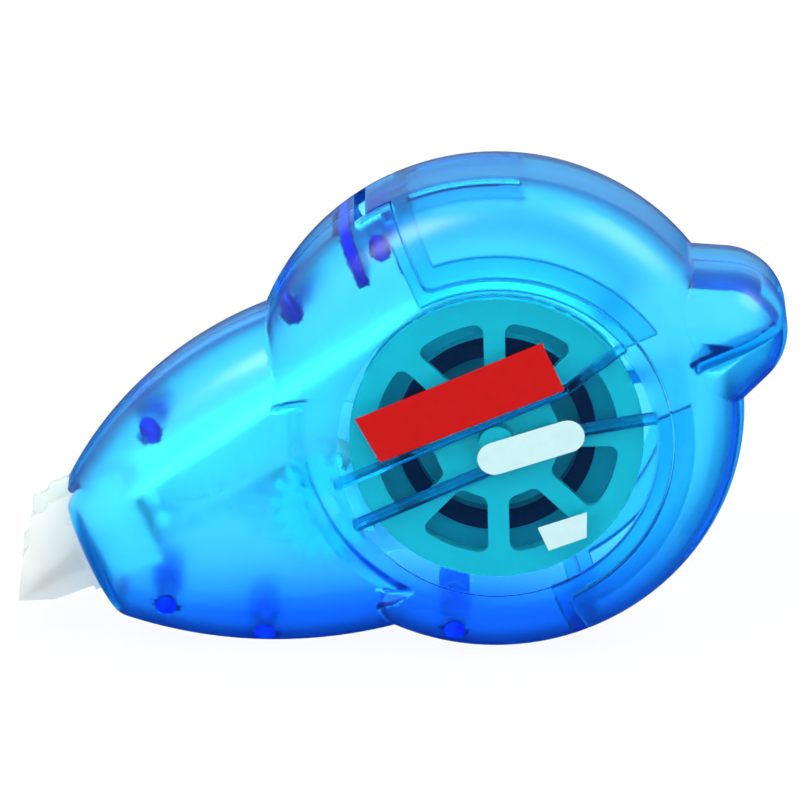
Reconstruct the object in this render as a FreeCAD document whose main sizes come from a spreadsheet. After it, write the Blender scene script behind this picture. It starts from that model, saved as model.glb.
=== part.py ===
"""Refillable correction tape roller, modelled piece by piece in millimetres.

The case stands on its bottom edge: +Z up, +X towards the thumb lobe, +Y towards the far side,
with the origin under the middle of the case. The refill slides along one straight line, the slide
axis, which climbs to the right and passes through the centre of the supply spool. Most places are
given in the slide frame: u along the slide axis, w square to it, both from the spool's centre.
"""
import FreeCAD, Part
import math
import os
import Sketcher
from FreeCAD import Placement, Rotation, Vector

doc = FreeCAD.newDocument("correction_tape_roller")
sheet = doc.addObject("Spreadsheet::Sheet", "dim")
row = 0


def size(alias, value, meaning):
    """Write one driving dimension into the sheet and give its value back."""
    global row
    row += 1
    sheet.set(f"A{row}", meaning)
    sheet.set(f"B{row}", str(value))
    sheet.setAlias(f"B{row}", alias)
    return float(value)


# Case: the round body, the nose in front of it and the thumb lobe behind it.
wall = size("wall", 1.4, "wall thickness of every case moulding")
edge_round = size("edge_round", 8.0, "outer rounding of the case's long edges")
disc_x = size("disc_x", 12.0, "X of the round body's centre and of the supply spool")
disc_radius = size("disc_radius", 31.4, "outer radius of the round body")
step_rise = size("step_rise", 2.0, "height of the round body above the nose, each side")
crown_x = size("crown_x", 1.1, "X of the centre of the nose's upper arc")
crown_z = size("crown_z", -1.5, "Z of the centre of the nose's upper arc")
crown_radius = size("crown_radius", 48.6, "radius of the nose's upper arc")
keel_x = size("keel_x", -16.0, "X of the centre of the nose's lower arc")
keel_radius = size("keel_radius", 58.0, "radius of the nose's lower arc")
nose_reach = size("nose_reach", 54.2, "u distance from spool centre to the nose's front")
nose_root_x = size("nose_root_x", 8.0, "X where the nose ends inside the round body")
front_round = size("front_round", 2.4, "rounding round the nose's front")
front_inner = size("front_inner", 0.8, "least rounding inside the nose's front")
step_radius = size("step_radius", 26.7, "radius of the foot of the step from nose to body")
step_from = size("step_from", 177.0, "angle of the step's upper ear, degrees")
step_to = size("step_to", 238.5, "angle of the step's lower ear, degrees")
lobe_angle = size("lobe_angle", 20.7, "direction of the thumb lobe from the body's centre, degrees")
lobe_sink = size("lobe_sink", 0.8, "distance of the lobe's centre inside the body's edge")
lobe_radius = size("lobe_radius", 8.1, "radius of the thumb lobe's end")
lobe_root = size("lobe_root", 12.0, "distance from the lobe's end back to its wide root")
lobe_flare = size("lobe_flare", 0.42, "growth of the lobe's radius towards its root")
lobe_inset = size("lobe_inset", 1.0, "step from the round body's side to the lobe's side")
lobe_round = size("lobe_round", 7.0, "rounding of the thumb lobe's edges")

# Slide axis, seam, lips and window.
slide_angle = size("slide_angle", 24.0, "climb of the slide axis, degrees")
spool_drop = size("spool_drop", 2.2, "drop of the supply spool's axis below the body's centre")
seam_inset = size("seam_inset", 9.2, "distance from the body's outer radius to the seam's arc")
seam_corner = size("seam_corner", 1.2, "corner radius of the seam")
seam_gap = size("seam_gap", 0.25, "gap between front case and rear cap")
lip_overlap = size("lip_overlap", 2.7, "reach of the lip under the rear cap, beyond the seam")
lip_gap = size("lip_gap", 0.2, "gap between lip and rear cap")
lip_thick = size("lip_thick", 1.0, "thickness of the lip")
lip_root = size("lip_root", 1.5, "overlap that roots the lip on the front case")
lip_reach = size("lip_reach", 2.2, "how far the lip's straight ends reach into the cap")
window_rim = size("window_rim", 2.1, "width of the rim between seam and window")
lip_step = size("lip_step", 0.5, "distance of the lip's inner edge outside the window")
window_recess = size("window_recess", 0.4, "depth of the window below its rim")
runner_offset = size("runner_offset", 3.0, "w of each refill runner's middle")
runner_thick = size("runner_thick", 1.0, "thickness of a refill runner")
runner_high = size("runner_high", 2.0, "height of the runners above the window's inner face")
runner_spare = size("runner_spare", 0.9, "reach of the runners' front ends past the window")
flare_from = size("flare_from", 11.0, "u where the runners start to spread, to let the refill in")
flare_angle = size("flare_angle", 14.0, "spread of each runner's back end, degrees")
slide_gap = size("slide_gap", 0.3, "gap between refill and case where one slides in the other")

# Posts, ribs and latch of the case.
post_radius = size("post_radius", 1.3, "radius of an assembly post")
spigot_radius = size("spigot_radius", 0.8, "radius of the spigot on a post's end")
spigot_reach = size("spigot_reach", 2.5, "length of the spigot")
spigot_gap = size("spigot_gap", 0.05, "radial gap of a spigot in its socket")
rib_thick = size("rib_thick", 1.2, "thickness of the small ribs inside the case")
tongue_half = size("tongue_half", 5.0, "half width of the latch tongue")
tongue_reach = size("tongue_reach", 3.4, "reach of the tongue into the front case's slot")
tongue_gap = size("tongue_gap", 0.3, "gap between the tongue's sides and the slot")
slot_reach = size("slot_reach", 5.1, "reach of the slot into the front case")
tongue_base = size("tongue_base", 20.0, "w below which neither tongue nor slot exists")
rail_depth = size("rail_depth", 1.6, "depth of the tongue's side rails below the wall")
rail_back = size("rail_back", 15.5, "u where the side rails end")
stop_reach = size("stop_reach", 5.9, "u distance to the rib in front of the slot")
stop_thick = size("stop_thick", 1.4, "thickness of the rib in front of the slot")
stop_low = size("stop_low", 26.0, "w of that rib's lower edge")
grip_inset = size("grip_inset", 0.7, "distance of the grip wall inside the lobe's outline")
grip_thick = size("grip_thick", 1.4, "thickness of the grip wall inside the near side")
grip_top = size("grip_top", 36.0, "angle above the body's centre where the grip wall begins, degrees")
grip_low = size("grip_low", 35.7, "angle below the body's centre where the grip wall ends, degrees")
thumb_rib_from = size("thumb_rib_from", 26.5, "u where the rib inside the thumb lobe begins")
thumb_rib_to = size("thumb_rib_to", 37.3, "u where the rib inside the thumb lobe ends")
thumb_rib_level = size("thumb_rib_level", -1.2, "w of the rib inside the thumb lobe")
thumb_rib_high = size("thumb_rib_high", 5.0, "height of the rib inside the thumb lobe")

# Mouth of the nose.
mouth_low = size("mouth_low", -2.0, "w of the mouth's lower edge")
mouth_depth = size("mouth_depth", 3.2, "depth of the mouth's cut behind the nose's front")
mouth_gap = size("mouth_gap", 0.3, "gap between tip and mouth")

# Refill: the stack of wheels, from the tape outwards.
tape_width = size("tape_width", 5.0, "width of the correction tape")
side_gap = size("side_gap", 0.1, "side gap of the tape at the spools")
flange_thick = size("flange_thick", 1.0, "thickness of the spool and wheel flanges")
seat_high = size("seat_high", 1.8, "height of the clutch seat on the supply spool")
clutch_width = size("clutch_width", 1.9, "width of the clutch ring along its axis")
clutch_inner = size("clutch_inner", 10.7, "inner radius of the clutch ring")
clutch_outer = size("clutch_outer", 12.6, "outer radius of the clutch ring")
axle_radius = size("axle_radius", 2.0, "radius of the supply axle")
bore_gap = size("bore_gap", 0.06, "radial running gap of a wheel on its axle")
hub_wall = size("hub_wall", 1.3, "wall of a wheel's hub tube")
core_radius = size("core_radius", 9.0, "outer radius of the supply spool's core")
core_wall = size("core_wall", 1.2, "wall of the supply spool's core")
roll_radius = size("roll_radius", 17.3, "outer radius of the full tape roll")
spool_flange_radius = size("spool_flange_radius", 18.0, "radius of the supply spool's flange")
wheel_radius = size("wheel_radius", 18.6, "radius of the windowed supply wheel")
window_inner = size("window_inner", 8.0, "inner radius of the wheel's windows")
window_outer = size("window_outer", 15.5, "outer radius of the wheel's windows")
window_count = size("window_count", 8, "number of windows in the supply wheel")
spoke_width = size("spoke_width", 2.7, "width of the spokes between the windows")
window_corner = size("window_corner", 1.2, "corner radius of the wheel's windows")
gear_module = size("gear_module", 0.7, "module of the gear teeth")
supply_teeth = size("supply_teeth", 50, "teeth on the supply wheel")
take_up_teeth = size("take_up_teeth", 18, "teeth on the take-up gear")
rim_wall = size("rim_wall", 0.8, "wall of the toothed rim under its teeth")
rim_width = size("rim_width", 2.0, "width of the supply wheel's toothed rim")
pinion_width = size("pinion_width", 1.5, "width of the take-up gear")
pinion_offset = size("pinion_offset", 0.3, "gap between take-up gear and supply wheel's flange")
tooth_root = size("tooth_root", 1.15, "depth of the teeth below the pitch circle, in modules")
tooth_tip = size("tooth_tip", 0.9, "height of the teeth above the pitch circle, in modules")
tooth_play = size("tooth_play", 0.14, "backlash between the gears at the pitch circle")
pinion_hub_radius = size("pinion_hub_radius", 4.5, "radius of the take-up gear's hub")
take_up_axle_radius = size("take_up_axle_radius", 1.5, "radius of the take-up axle")
take_up_core_radius = size("take_up_core_radius", 5.6, "radius of the take-up spool's core")
take_up_flange_radius = size("take_up_flange_radius", 11.0, "radius of the take-up spool's flange")
take_up_flange_thick = size("take_up_flange_thick", 0.8, "thickness of the take-up spool's flange")
used_roll_radius = size("used_roll_radius", 6.0, "radius of the used tape on the take-up spool")
snap_lip = size("snap_lip", 0.4, "how far a snap head stands over its axle")
snap_high = size("snap_high", 0.6, "height of the snap head")
axial_gap = size("axial_gap", 0.2, "end gap of the wheels on their axles")
cap_radius = size("cap_radius", 2.25, "radius of the supply hub's cap")
cap_high = size("cap_high", 1.8, "height of the supply hub's cap")
cap_wall = size("cap_wall", 0.5, "end wall of the supply hub's cap")
stub_radius = size("stub_radius", 1.2, "radius of the stub that the hub cap is pressed on")

# Refill: base plate, guide pins, tip and tape.
plate_thick = size("plate_thick", 1.2, "thickness of the refill's base plate")
plate_radius = size("plate_radius", 17.0, "radius of the base plate round the supply spool")
neck_top = size("neck_top", 12.6, "w of the base plate's neck, upper edge")
neck_low = size("neck_low", 1.0, "w of the base plate's neck, lower edge")
neck_front = size("neck_front", 4.2, "distance from the nose's front back to the neck's front")
neck_root = size("neck_root", 16.2, "distance from the nose's front back to where the neck widens")
plate_belly = size("plate_belly", 12.0, "w distance to the plate's lower edge below the take-up spool")
key_reach = size("key_reach", 4.2, "length of the key on the back of the base plate")
pin_radius = size("pin_radius", 1.0, "radius of a tape guide pin")
pin_back = size("pin_back", 10.2, "distance from the nose's front back to the guide pins")
upper_pin_level = size("upper_pin_level", 8.5, "w of the upper guide pin")
lower_pin_level = size("lower_pin_level", 5.5, "w of the lower guide pin")
tip_half = size("tip_half", 4.1, "half width of the tip")
guard_wall = size("guard_wall", 0.9, "wall of each tip guard")
guard_back = size("guard_back", 8.2, "distance from the nose's front back to the guards' back ends")
guard_top = size("guard_top", 13.5, "w of the guards' top")
guard_low = size("guard_low", 0.6, "w of the guards' lower edge")
guard_shoulder = size("guard_shoulder", 2.1, "reach of the guards' top past the nose's front")
guard_step = size("guard_step", 4.8, "reach of the guards' first step past the nose")
guard_drop = size("guard_drop", 0.7, "height of the guards' first step")
guard_knee = size("guard_knee", 6.7, "reach of the foot of the guards' upper slope")
guard_knee_level = size("guard_knee_level", 9.1, "w of the foot of the upper slope")
guard_chin = size("guard_chin", 8.0, "reach of the top of the guards' lower slope")
guard_chin_level = size("guard_chin_level", 8.5, "w of the top of the lower slope")
apex_reach = size("apex_reach", 11.0, "reach of the tip's foremost point past the nose")
apex_level = size("apex_level", 3.1, "w of the tip's foremost point")
guard_heel = size("guard_heel", 6.6, "reach of the guards' heel past the nose")
guard_heel_level = size("guard_heel_level", 1.4, "w of the guards' heel")
collar_thick = size("collar_thick", 0.4, "thickness of the collar strip on each guard")
collar_width = size("collar_width", 1.0, "width of the collar strip along the slide axis")
collar_top = size("collar_top", 10.0, "w of the collar strip's top")
bridge_long = size("bridge_long", 5.0, "length of the bridge between the guards")
bridge_top = size("bridge_top", 7.6, "w of the bridge's top")
bridge_low = size("bridge_low", 4.7, "w of the bridge's underside")
wedge_top = size("wedge_top", 8.0, "w of the wedge's top at its root")
wedge_low = size("wedge_low", 4.0, "w of the wedge's underside at its root")
wedge_edge = size("wedge_edge", 0.35, "half thickness of the wedge's working edge")
wedge_inset = size("wedge_inset", 0.7, "distance from the guards' apex back to the wedge's edge")
band_thick = size("band_thick", 0.18, "thickness that the tape is drawn with")
band_gap = size("band_gap", 0.04, "gap between the tape and what guides it")
roll_gap = size("roll_gap", 0.3, "gap between the free tape and a turning roll")

doc.recompute()

# Places that follow from the sizes.
disc_z = disc_radius
keel_z = keel_radius
tape_half = tape_width / 2
pitch_supply = gear_module * supply_teeth / 2
pitch_take_up = gear_module * take_up_teeth / 2
take_up_u = -(pitch_supply + pitch_take_up)
slide = math.radians(slide_angle)
spool_z = disc_z - spool_drop
slide_frame = Placement(Vector(disc_x, 0, spool_z), Rotation(Vector(0, 1, 0), -slide_angle))
runner_crest = tape_half + side_gap + flange_thick + seat_high + clutch_width + flange_thick + slide_gap
plate_face = tape_half + side_gap + take_up_flange_thick + 2 * axial_gap + slide_gap
plate_back = plate_face + plate_thick
disc_half = runner_crest + runner_high + wall
nose_half = disc_half - step_rise
lobe_half = disc_half - lobe_inset
seam_radius = disc_radius - seam_inset
lip_radius = seam_radius + lip_overlap
window_radius = seam_radius - window_rim
runner_back = window_radius


def around(x, z, radius, angle):
    """(X, Z) of a place on a circle, its angle in degrees from +X towards +Z."""
    turn = math.radians(angle)
    return (x + radius * math.cos(turn), z + radius * math.sin(turn))


lobe_x, lobe_z = around(disc_x, disc_z, disc_radius - lobe_sink, lobe_angle)


# ---------------------------------------------------------------- solids of the case mouldings
# The posts stand just inside the case's edge, where no part of the refill passes.
POST_PLACES = (
    around(crown_x, crown_z, crown_radius - 3.6, 136.4),
    around(disc_x, disc_z, disc_radius - 2.2, 150.4),
    around(disc_x, disc_z, disc_radius - 3.9, 122.1),
    around(keel_x, keel_z, keel_radius - 4.9, 254.9),
    around(keel_x, keel_z, keel_radius - 2.6, 268.5),
    around(disc_x, disc_z, disc_radius - 3.5, 259.3),
)


def drum(x, z, radius, low, high):
    """Round bar along Y."""
    return Part.makeCylinder(radius, high - low, Vector(x, low, z), Vector(0, 1, 0))


def block(u_low, u_high, w_low, w_high, y_low, y_high):
    """Rectangular block lined up with the slide axis."""
    lengths = (u_high - u_low, y_high - y_low, w_high - w_low)
    box = Part.makeBox(*lengths, Vector(u_low, y_low, w_low))
    box.Placement = slide_frame
    return box


def post(u, w, radius, low, high):
    """Round bar along Y at a place in the slide frame."""
    centre = slide_frame.multVec(Vector(u, 0, w))
    return drum(centre.x, centre.z, radius, low, high)


def pillow(x, z, radius, half, rounding):
    """Thick disc whose two rims are rounded."""
    disc = drum(x, z, radius, -half, half)
    rims = [edge for edge in disc.Edges if len(edge.Vertexes) == 1]
    return disc.makeFillet(rounding, rims)


def round_body(inset):
    """The round body, `inset` under its outer surface."""
    return pillow(disc_x, disc_z, disc_radius - inset, disc_half - inset, edge_round - inset)


def nose(inset):
    """The nose: what two large pillows share, cut square to the slide axis at its front."""
    half = nose_half - inset
    rounding = edge_round - inset
    front = -nose_reach + inset
    upper = pillow(crown_x, crown_z, crown_radius - inset, half, rounding)
    lower = pillow(keel_x, keel_z, keel_radius - inset, half, rounding)
    body = upper.common(lower)
    body = body.common(block(front, nose_reach, -nose_reach, nose_reach, -half, half))
    root = Part.makeBox(2 * nose_reach, 2 * half, 2 * nose_reach)
    root.translate(Vector(nose_root_x - 2 * nose_reach, -half, -nose_reach / 2))
    body = body.common(root)
    face = min(body.Faces, key=lambda item: slide_frame.inverse().multVec(item.CenterOfMass).x)
    return body.makeFillet(max(front_round - inset, front_inner), face.Edges)


def step_outline(shift, level):
    """Outline of the raised part of the body, at one level of the sloping step."""
    centre = Vector(disc_x, level, disc_z)
    radius = step_radius - shift
    rim = math.sqrt(radius ** 2 - shift ** 2)
    far = 2 * disc_radius

    def ray(angle, side, distance):
        turn = math.radians(angle)
        quarter = math.radians(angle + side * 90)
        along = Vector(math.cos(turn), 0, math.sin(turn)) * distance
        across = Vector(math.cos(quarter), 0, math.sin(quarter)) * shift
        return centre + along + across

    middle = math.radians((step_from + step_to) / 2)
    belly = centre + Vector(math.cos(middle), 0, math.sin(middle)) * radius
    ends = [ray(step_from, -1, rim), ray(step_to, 1, rim)]
    corners = [
        ends[1],
        ray(step_to, 1, far),
        centre + Vector(far, 0, -far),
        centre + Vector(far, 0, far),
        centre + Vector(-far, 0, far),
        ray(step_from, -1, far),
        ends[0],
    ]
    edges = [Part.Arc(ends[0], belly, ends[1]).toShape()]
    for start, end in zip(corners, corners[1:]):
        edges.append(Part.LineSegment(start, end).toShape())
    return Part.Wire(edges)


def raised_body(inset):
    """The part of the round body that stands above the nose, with its sloping step."""
    low = nose_half - inset
    rise = disc_half - nose_half
    shift = inset * (math.sqrt(2) - 1)
    foot = step_outline(shift, -low)
    middle = Part.Face(foot).extrude(Vector(0, 2 * low, 0))
    slopes = []
    for side in (-1, 1):
        wires = [step_outline(shift, side * low), step_outline(shift + rise, side * (low + rise))]
        slopes.append(Part.makeLoft(wires, True, True))
    return round_body(inset).common(middle.fuse(slopes))


def lobe_prism(inset, half):
    """The thumb lobe before rounding: two arcs joined by their tangents, widening into the body."""
    tip = Vector(lobe_x, -half, lobe_z)
    inward = Vector(disc_x - lobe_x, 0, disc_z - lobe_z).normalize()
    root = tip + inward * lobe_root
    small = lobe_radius - inset
    large = small + lobe_flare * lobe_root
    lean = math.acos(lobe_flare)
    heading = math.atan2(-inward.z, -inward.x)

    def on(centre, radius, angle):
        turn = heading + angle
        return centre + Vector(math.cos(turn), 0, math.sin(turn)) * radius

    edges = [
        Part.Arc(on(tip, small, -lean), on(tip, small, 0), on(tip, small, lean)).toShape(),
        Part.LineSegment(on(tip, small, lean), on(root, large, lean)).toShape(),
        Part.Arc(on(root, large, lean), on(root, large, math.pi), on(root, large, -lean)).toShape(),
        Part.LineSegment(on(root, large, -lean), on(tip, small, -lean)).toShape(),
    ]
    return Part.Face(Part.Wire(edges)).extrude(Vector(0, 2 * half, 0))


def thumb_lobe(inset):
    """The thumb lobe with its rounded edges."""
    half = lobe_half - inset
    body = lobe_prism(inset, half)
    rims = [edge for edge in body.Edges if abs(abs(edge.CenterOfMass.y) - half) < 0.01]
    return body.makeFillet(lobe_round - inset, rims)


def seam_block(gap):
    """The C-shaped region of the rear cap, drawn back from the seam by `gap`."""
    reach = 2 * disc_radius
    deep = disc_half + 2
    region = block(gap, reach, -reach, reach, -deep, deep)
    region = region.cut(post(0, 0, seam_radius + gap, -deep, deep))
    corners = []
    for edge in region.Edges:
        spot = slide_frame.inverse().multVec(edge.CenterOfMass)
        if abs(spot.y) < 0.01 and abs(abs(spot.z) - seam_radius) < 1 and spot.x < 1:
            corners.append(edge)
    return region.makeFillet(seam_corner, corners)


def mirrored(shape):
    """The same shape on the far side of the parting plane."""
    return shape.mirror(Vector(0, 0, 0), Vector(0, 1, 0))


def on_side(side, u_low, u_high, w_low, w_high, y_low, y_high):
    """Block of the slide frame on the near (-1) or far (+1) side; y is counted outwards."""
    y_low, y_high = sorted((side * y_low, side * y_high))
    return block(u_low, u_high, w_low, w_high, y_low, y_high)


def lip(side_skin, deep):
    """Lip under the rear cap: round the window and along the straight ends of the seam."""
    reach = 2 * disc_radius
    spread = runner_offset + (runner_back - flare_from) * math.tan(math.radians(flare_angle))
    inner = round_body(wall + lip_gap + lip_thick)
    under_cap = round_body(wall + lip_gap).cut(inner)
    arc = post(0, 0, lip_radius, -deep, deep).cut(post(0, 0, window_radius + lip_step, -deep, deep))
    arc = arc.cut(block(-reach, -lip_root, -reach, reach, -deep, deep))
    ends = block(-lip_root, lip_reach, -reach, reach, -deep, deep)
    ends = ends.cut(post(0, 0, seam_radius, -deep, deep))
    zone = arc.fuse(ends)
    root = round_body(wall / 2).cut(inner).common(zone.cut(seam_block(-lip_gap)))
    whole = under_cap.common(zone).fuse(root).common(side_skin)
    return whole.cut(block(0, reach, -spread, spread, -deep, deep))


def runner(side, low, edge):
    """One runner that guides the refill's hub: straight, then spread at its back end."""
    front = -window_radius - runner_spare
    half = runner_thick / 2
    middle = edge * runner_offset
    straight = on_side(side, front, flare_from, middle - half, middle + half, low, disc_half)
    flare = on_side(side, 0, runner_back - flare_from, -half, half, low, disc_half)
    hinge = slide_frame.multVec(Vector(flare_from, 0, middle))
    flare.translate(hinge - slide_frame.Base)
    flare.rotate(hinge, Vector(0, 1, 0), -edge * flare_angle)
    return straight.fuse(flare)


def half_case(side):
    """One half of the front case: side -1 is the near shell, +1 the far shell."""
    reach = 2 * nose_reach
    deep = disc_half + 1
    half = Part.makeBox(2 * reach, deep, 2 * reach, Vector(-reach, 0, -reach))
    half = half if side > 0 else mirrored(half)
    outer = nose(0).fuse(raised_body(0)).common(half)
    inner = nose(wall).fuse(raised_body(wall))
    shell = outer.cut(inner).cut(seam_block(0))
    shell = shell.fuse(lip(half, deep))

    # Slot for the cap's latch tongue, and the rib in front of it.
    across = tongue_half + tongue_gap
    slot = block(-slot_reach, seam_gap, tongue_base, reach, -across, across)
    shell = shell.cut(slot.cut(round_body(wall + lip_gap)))
    rib = on_side(side, -stop_reach - stop_thick, -stop_reach, stop_low, 2 * seam_radius, 0, deep)
    shell = shell.fuse(rib.common(outer))

    # Runners that guide the refill's hub, near and far.
    low = runner_crest if side < 0 else plate_back + slide_gap
    for edge in (-1, 1):
        shell = shell.fuse(runner(side, low, edge).common(outer))

    # Assembly posts: spigots on the near shell enter sockets on the far one.
    for x, z in POST_PLACES:
        if side < 0:
            shell = shell.fuse(drum(x, z, post_radius, -disc_half, 0).common(outer))
            shell = shell.fuse(drum(x, z, spigot_radius, -spigot_reach, spigot_reach))
        else:
            shell = shell.fuse(drum(x, z, post_radius + wall / 2, 0, disc_half).common(outer))
            socket = spigot_radius + spigot_gap
            shell = shell.cut(drum(x, z, socket, 0, spigot_reach + slide_gap))

    # Mouth for the tip.
    mouth_top = guard_top + mouth_gap
    mouth_half = tip_half + collar_thick + mouth_gap
    mouth = block(-reach, -nose_reach + mouth_depth, mouth_low, mouth_top, -mouth_half, mouth_half)
    shell = shell.cut(mouth)
    if side < 0:
        recess = post(0, 0, window_radius, -deep, -disc_half + window_recess)
        shell = shell.cut(recess)
    return shell


def grip_wall():
    """Wall inside the cap's near side that follows the lobe's end and the body's back."""
    profiles = []
    for inset in (grip_inset, grip_inset + grip_thick):
        body = drum(disc_x, disc_z, disc_radius - inset, -disc_half, 0)
        profiles.append(body.fuse(lobe_prism(inset, disc_half)))
    sector = [Vector(disc_x, -disc_half, disc_z)]
    for angle in (grip_top, -grip_low):
        x, z = around(disc_x, disc_z, 2 * disc_radius, angle)
        sector.append(Vector(x, -disc_half, z))
    face = Part.Face(Part.makePolygon(sector + sector[:1]))
    return profiles[0].cut(profiles[1]).common(face.extrude(Vector(0, disc_half, 0)))


def rear_cap():
    """The rear cap: one C-shaped moulding with the thumb lobe and the latch tongue."""
    outer = round_body(0).fuse(thumb_lobe(0))
    inner = round_body(wall).fuse(thumb_lobe(wall))
    shell = outer.cut(inner).common(seam_block(seam_gap))
    reach = 2 * disc_radius
    skin = round_body(0).cut(round_body(wall))
    tongue = block(-tongue_reach, wall, tongue_base, reach, -tongue_half, tongue_half)
    shell = shell.fuse(skin.common(tongue))
    below = round_body(wall / 2).cut(round_body(wall + rail_depth))
    front = lip_reach + lip_gap
    for side in (-1, 1):
        rail = on_side(side, front, rail_back, tongue_base, reach, tongue_half - rib_thick, tongue_half)
        shell = shell.fuse(below.common(rail))
    shell = shell.fuse(grip_wall().common(outer))
    low = thumb_rib_level - rib_thick / 2
    crest = lobe_half - thumb_rib_high
    rib = on_side(-1, thumb_rib_from, thumb_rib_to, low, low + rib_thick, crest, disc_half)
    return shell.fuse(rib.common(outer))


def add_piece(label, shape, place):
    """A piece whose form needs surfaces and booleans that no single primitive gives."""
    piece = doc.addObject("Part::Feature", label)
    piece.Label = label
    piece.Shape = shape
    piece.Placement = place
    return piece


# ---------------------------------------------------------------- wheels with teeth
def tooth_angle(pitch_radius, teeth, radius):
    """Half the angle that a 20 degree involute tooth fills at one radius."""
    pressure = math.radians(20)
    base = pitch_radius * math.cos(pressure)
    lean = math.acos(min(1.0, base / max(radius, base)))
    involute = (math.tan(pressure) - pressure) - (math.tan(lean) - lean)
    return math.pi / (2 * teeth) + involute - tooth_play / (4 * pitch_radius)


def toothed_disc(teeth, low, high, start):
    """Spur gear about the Y axis, its first tooth at the angle `start`."""
    pitch_radius = gear_module * teeth / 2
    root = pitch_radius - tooth_root * gear_module
    tip = pitch_radius + tooth_tip * gear_module
    base = pitch_radius * math.cos(math.radians(20))
    radii = [root, max(root, base) + bore_gap / 3, pitch_radius, tip]
    flank = [(radius, tooth_angle(pitch_radius, teeth, radius)) for radius in radii]
    spots = []
    for tooth in range(teeth):
        middle = start + 2 * math.pi * tooth / teeth
        outline = [(radius, -angle) for radius, angle in flank]
        outline += [(radius, angle) for radius, angle in reversed(flank)]
        for radius, angle in outline:
            turn = middle + angle
            spots.append(Vector(radius * math.cos(turn), low, radius * math.sin(turn)))
    face = Part.Face(Part.makePolygon(spots + spots[:1]))
    return face.extrude(Vector(0, high - low, 0))


def wheel_window(low, high):
    """One rounded window of the supply wheel, midway between two spokes."""
    half_turn = math.pi / window_count
    corners = []
    for radius, side in ((window_inner, -1), (window_outer, -1), (window_outer, 1), (window_inner, 1)):
        turn = side * (half_turn - math.asin(spoke_width / 2 / radius))
        corners.append(Vector(radius * math.cos(turn), low, radius * math.sin(turn)))
    edges = [
        Part.LineSegment(corners[0], corners[1]).toShape(),
        Part.Arc(corners[1], Vector(window_outer, low, 0), corners[2]).toShape(),
        Part.LineSegment(corners[2], corners[3]).toShape(),
        Part.Arc(corners[3], Vector(window_inner, low, 0), corners[0]).toShape(),
    ]
    opening = Part.Face(Part.Wire(edges)).extrude(Vector(0, high - low, 0))
    uprights = [edge for edge in opening.Edges if abs(edge.Length - (high - low)) < 0.001]
    return opening.makeFillet(window_corner, uprights)


def supply_gear():
    """Windowed wheel with a toothed rim behind its flange and a hub tube on the axle."""
    hub = axle_radius + bore_gap + hub_wall
    root = pitch_supply - tooth_root * gear_module
    start = math.radians(180 / supply_teeth) * (supply_teeth % 2)
    wheel = drum(0, 0, wheel_radius, -wheel_face, -wheel_back)
    wheel = wheel.fuse(toothed_disc(int(supply_teeth), -wheel_back, rim_width - wheel_back, start))
    wheel = wheel.cut(drum(0, 0, root - rim_wall, -wheel_back, rim_width))
    for window in range(int(window_count)):
        opening = wheel_window(-wheel_face - 1, -wheel_back + 1)
        opening.rotate(Vector(0, 0, 0), Vector(0, 1, 0), 360 * window / window_count)
        wheel = wheel.cut(opening)
    wheel = wheel.fuse(drum(0, 0, hub, -wheel_face, -spool_face))
    return wheel.cut(drum(0, 0, axle_radius + bore_gap, -wheel_face - 1, 0))


def take_up_gear():
    """Small gear whose hub drives the take-up spool; a tooth space faces the supply wheel."""
    face = wheel_back - pinion_offset
    start = math.pi / take_up_teeth
    gear = toothed_disc(int(take_up_teeth), -face, -face + pinion_width, start)
    gear = gear.fuse(drum(0, 0, pinion_hub_radius, -face + pinion_width, -take_up_near))
    return gear.cut(drum(0, 0, take_up_axle_radius + bore_gap, -face - 1, 0))


# ---------------------------------------------------------------- turned and padded pieces
TAPE_HALF = "dim.tape_width / 2"
TAPE_SIDE = f"({TAPE_HALF} + dim.side_gap)"
SPOOL_FACE = f"({TAPE_SIDE} + dim.flange_thick)"
SEAT_FACE = f"({SPOOL_FACE} + dim.seat_high)"
WHEEL_BACK = f"({SEAT_FACE} + dim.clutch_width)"
WHEEL_FACE = f"({WHEEL_BACK} + dim.flange_thick)"
PLATE_FACE = f"({TAPE_SIDE} + dim.take_up_flange_thick + 2 * dim.axial_gap + dim.slide_gap)"
PLATE_BACK = f"({PLATE_FACE} + dim.plate_thick)"
TAKE_UP_NEAR = f"({TAPE_HALF} + 2 * dim.axial_gap)"
TAKE_UP_U = "(-dim.gear_module * (dim.supply_teeth + dim.take_up_teeth) / 2)"
NECK_ROOT = "(dim.nose_reach - dim.neck_root)"
NECK_FRONT = "(dim.nose_reach - dim.neck_front)"
PIN_BACK = "(dim.nose_reach - dim.pin_back)"
GUARD_BACK = "(dim.nose_reach - dim.guard_back)"
BRIDGE_FRONT = f"({GUARD_BACK} + dim.bridge_long)"
SHOULDER = "(dim.nose_reach + dim.guard_shoulder)"
APEX = "(dim.nose_reach + dim.apex_reach)"


def number(expression):
    return float(sheet.evalExpression(expression))


def new_body(label, place):
    body = doc.addObject("PartDesign::Body", label)
    body.Label = label
    body.Placement = place
    return body


def new_sketch(body, role, level):
    """Empty sketch on one of the body's own origin planes, `level` along its normal."""
    sketch = body.newObject("Sketcher::SketchObject", "outline")
    plane = [item for item in body.Origin.OriginFeatures if item.Role == role][0]
    sketch.AttachmentSupport = [(plane, "")]
    sketch.MapMode = "FlatFace"
    sketch.setExpression("AttachmentOffset.Base.z", level)
    return sketch


def hold(sketch, expression, kind, *where):
    """Add a constraint whose value is bound to the sheet."""
    index = sketch.addConstraint(Sketcher.Constraint(kind, *where, number(expression)))
    sketch.setExpression(f"Constraints[{index}]", expression)


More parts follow.
